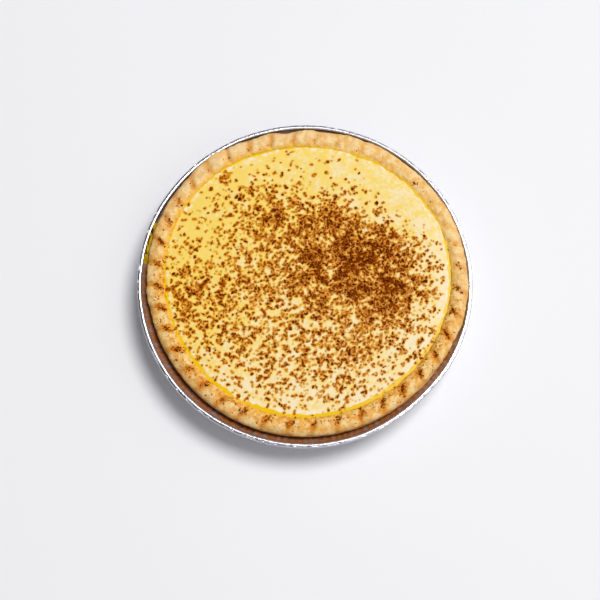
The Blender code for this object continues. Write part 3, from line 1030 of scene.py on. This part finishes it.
# %% [markdown]
# ## Set custard
# Baked custard is eggs, milk and sugar, set to a soft gel. Light goes a few millimetres into it and comes
# out warm, so it needs a little subsurface scattering, and its skin has a low satin sheen. It is a deeper
# yellow at the left, where it is thinner, and creamier to the front right; that slant is partly painted
# sheen. Along the skin's lip it is paler, partly paler skin and partly painted highlight. The moat is
# bare gel: glossier, and a strong egg yellow.

# %% Custard material
CREAM_PATCH = 8 * MM
WRINKLE = 2.2 * MM
SKIN_RIPPLE = 1.3 * MM
LIP_CREAM_AND_HIGHLIGHT_BLOT = 3.6 * MM
DEEP_YELLOW = (-110 * MM, 10 * MM, 30 * MM)  # the skin is yellowest towards this place
DEEP_REACH = 90 * MM
# painted sheen: this slant makes the skin creamier towards the front right
CREAM_AND_SHEEN_SLANT = (2.3, -2.9, 0.0)  # and it grows creamier by so much a metre to the right and the front


def custard_material():
    """Pale skin with creamy patches and painted sheen, paler along its lip with painted highlights, a
    yellow moat at its lip, and the cinnamon's stain over both.
    """
    made, tree, shader, place = started("set custard")
    # painted sheen: the skin is made creamier towards the front right and away from the left
    slant = add(tree, "ShaderNodeVectorMath", {0: place, 1: CREAM_AND_SHEEN_SLANT}, operation="DOT_PRODUCT")
    away = add(tree, "ShaderNodeVectorMath", {0: place, 1: DEEP_YELLOW}, operation="DISTANCE")
    near = add(tree, "ShaderNodeMath", {0: away.outputs["Value"], 1: DEEP_REACH}, operation="MINIMUM")
    cream_and_sheen = weighed(tree, near.outputs[0], 5.2, slant.outputs["Value"])
    cream_and_sheen = weighed(tree, blots(tree, place, WRINKLE, 2.0), 1.6, cream_and_sheen)
    cream_and_sheen = weighed(tree, blots(tree, place, CREAM_PATCH, 4.0), 1.7, cream_and_sheen)
    cream_and_sheen_share = ranged(tree, cream_and_sheen, 1.66, 2.68, kind="SMOOTHSTEP")
    colour = blend(tree, cream_and_sheen_share, linear("F8D768"), linear("F9E6BE"))
    lip = stored(tree, "from_lip")
    # paler skin and painted highlight, in blots along the lip
    rim = ranged(tree, lip, 4.0, 0.6, 0.0, 0.95, "SMOOTHSTEP")
    lip_cream_and_highlight = ranged(tree, blots(tree, place, LIP_CREAM_AND_HIGHLIGHT_BLOT, 1.0), 0.48, 0.62, kind="SMOOTHSTEP")
    colour = blend(tree, product(tree, rim, lip_cream_and_highlight), colour, linear("FBEBD0"))
    moat = ranged(tree, lip, 0.35, -0.15, kind="SMOOTHSTEP")
    colour = blend(tree, moat, colour, linear("EEC400"))
    ripple = blots(tree, place, SKIN_RIPPLE, 3.0)
    layers = product(tree, stored(tree, "stain"), ranged(tree, ripple, 0.3, 0.7, 1.6, 3.8))
    feed(tree, shader, {
        "Base Color": steeped(tree, colour, layers),
        "Roughness": ranged(tree, lip, -0.2, 0.8, 0.16, 0.42),
        "Subsurface Weight": 0.12,
        "Subsurface Radius": (1.0, 0.8, 0.4),
        "Subsurface Scale": 1.5 * MM,
        "IOR": 1.36,
        "Specular IOR Level": 0.2,
        "Normal": bumped(tree, ripple, 0.3, 0.12 * MM),
    })
    return made


custard = piece("custard_in_its_skin", sheet, custard_material())
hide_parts("custard_filling")

# %% [markdown]
# ## Ground cinnamon
# Cinnamon is ground bark: dull red-brown chips, some nearly black, some the orange of fresh powder. A
# handful of rough lumps is enough for thousands of grains, because every copy is turned, stretched and
# tinted differently. Each is an icosphere of twenty faces, or for the smallest a cone of eight, with its
# points pushed about. The copies are joined into one mesh by array arithmetic, which takes a moment where
# thousands of separate objects would take minutes.

# %% Cinnamon material and grains
LUMPS = 6
FINE_GRAIN = 0.44 * MM  # grains under this radius have eight faces
LIFT = 0.12  # share of its radius that a grain's middle lies over the surface


def cinnamon_material(name, dark, light):
    """Dull bark, between dark and light by each grain's own tint."""
    made, tree, shader, _ = started(name)
    feed(tree, shader, {
        "Base Color": blend(tree, stored(tree, "tint"), linear(dark), linear(light)),
        "Roughness": 0.95,
        "Specular IOR Level": 0.05,
    })
    return made


def lump(faces, seed):
    """One rough grain of unit size, as arrays of its points and triangles."""
    shaper = random.Random(seed)
    mesh = bmesh.new()
    if faces == 20:
        bmesh.ops.create_icosphere(mesh, subdivisions=1, radius=1.0)
    else:
        bmesh.ops.create_cone(mesh, cap_ends=True, segments=5, radius1=1.0, radius2=0.0, depth=1.4)
        bmesh.ops.triangulate(mesh, faces=mesh.faces)
    for vertex in mesh.verts:
        vertex.co *= shaper.uniform(0.65, 1.2)
    mesh.verts.index_update()
    points = np.array([vertex.co for vertex in mesh.verts])
    corners = np.array([[vertex.index for vertex in face.verts] for face in mesh.faces])
    mesh.free()
    return points, corners


def heap(name, grains, faces, material, flatness=0.55):
    """One mesh of all the grains, each a copy of a lump that is turned, flattened and laid on its slope."""
    shapes = [lump(faces, seed) for seed in range(LUMPS)]
    points, corners, tints = [], [], []
    count = 0
    for place, slope, radius, tint in grains:
        shape, face = shapes[draw.randrange(LUMPS)]
        sides = (radius * draw.uniform(0.8, 1.8), radius * draw.uniform(0.55, 1.0), radius * flatness)
        spin = Matrix.Rotation(draw.uniform(0, 2 * math.pi), 3, "Z")
        lie = slope.to_track_quat("Z", "Y").to_matrix() @ spin
        move = np.array(lie @ Matrix.Diagonal(sides))
        points.append(shape @ move.T + np.array(place + slope * radius * LIFT))
        corners.append(face + count)
        tints.append(np.full(len(shape), min(1.0, max(0.0, tint))))
        count += len(shape)
    obj = bpy.data.objects.new(name, bpy.data.meshes.new(name))
    obj.data.from_pydata(np.concatenate(points).tolist(), [], np.concatenate(corners).tolist())
    tint = obj.data.attributes.new("tint", "FLOAT", "POINT")
    tint.data.foreach_set("value", np.concatenate(tints).astype(np.float32))
    print(name, "has", len(grains), "grains")
    return joined(obj, material)


spice = cinnamon_material("ground cinnamon", "5A1B00", "B25604")
damp = cinnamon_material("cinnamon dust gone damp", "B05A04", "DC9014")
everything = custard_grains + rim_grains
heap("cinnamon_clumps", [grain for grain in everything if grain[2] >= FINE_GRAIN], 20, spice)
heap("fine_cinnamon", [grain for grain in everything if grain[2] < FINE_GRAIN], 8, spice)
heap("damp_cinnamon_dust", dust, 8, damp, 0.3)

# %% [markdown]
# ## Spilt custard
# At the left a little custard ran over the pastry into the dish and baked dry on the foil, olive where
# the metal shows through it. It is a patch of grid laid along the sloping wall, thick in the middle and
# thinning to nothing at an uneven edge.

# %% Spilt custard
SPILL_TURN = (math.radians(157), math.radians(174))
SPILL_HEIGHT = (19 * MM, 28 * MM)
SPILL_THICKNESS = 2.0 * MM


def spill_mesh():
    """A closed patch on the wall's inner face, its back a little way into the foil."""
    mesh = bmesh.new()
    bmesh.ops.create_grid(mesh, x_segments=90, y_segments=28, size=1.0)
    for vertex in mesh.verts:
        u, v = vertex.co.x, vertex.co.y
        turn = (SPILL_TURN[0] + SPILL_TURN[1]) / 2 + u * (SPILL_TURN[1] - SPILL_TURN[0]) / 2
        edge = 0.18 * wobble((u * 4, v * 2, 0), 0.5, 5.0)
        thick = smooth_step(0.0, 0.45, 1 + edge - max(abs(u), abs(v)))
        height = (SPILL_HEIGHT[0] + SPILL_HEIGHT[1]) / 2 + v * (SPILL_HEIGHT[1] - SPILL_HEIGHT[0]) / 2
        lumps = 0.5 + 0.14 * wobble((u * 26, v * 5, 0), 2.0, 7.0)
        radius = min(wall_radius(height), TUCK_RADIUS) + 0.15 * MM - thick * SPILL_THICKNESS * lumps
        vertex.co = pressed(Vector((radius * math.cos(turn), radius * math.sin(turn), height)))
    for vertex in drawn_on(mesh):
        out = Vector((vertex.co.x, vertex.co.y, 0)).normalized()
        vertex.co += out * 0.1 * MM
    bmesh.ops.holes_fill(mesh, edges=open_edges(mesh), sides=0)
    return mesh


def dried_custard_material():
    made, tree, shader, place = started("custard dried on foil")
    film = blots(tree, place, 2.5 * MM, 3.0)
    colour = blend(tree, film, linear("B8960C"), linear("E3C235"))
    feed(tree, shader, {"Base Color": colour, "Roughness": 0.3})
    return made


piece("spilt_custard", spill_mesh(), dried_custard_material())
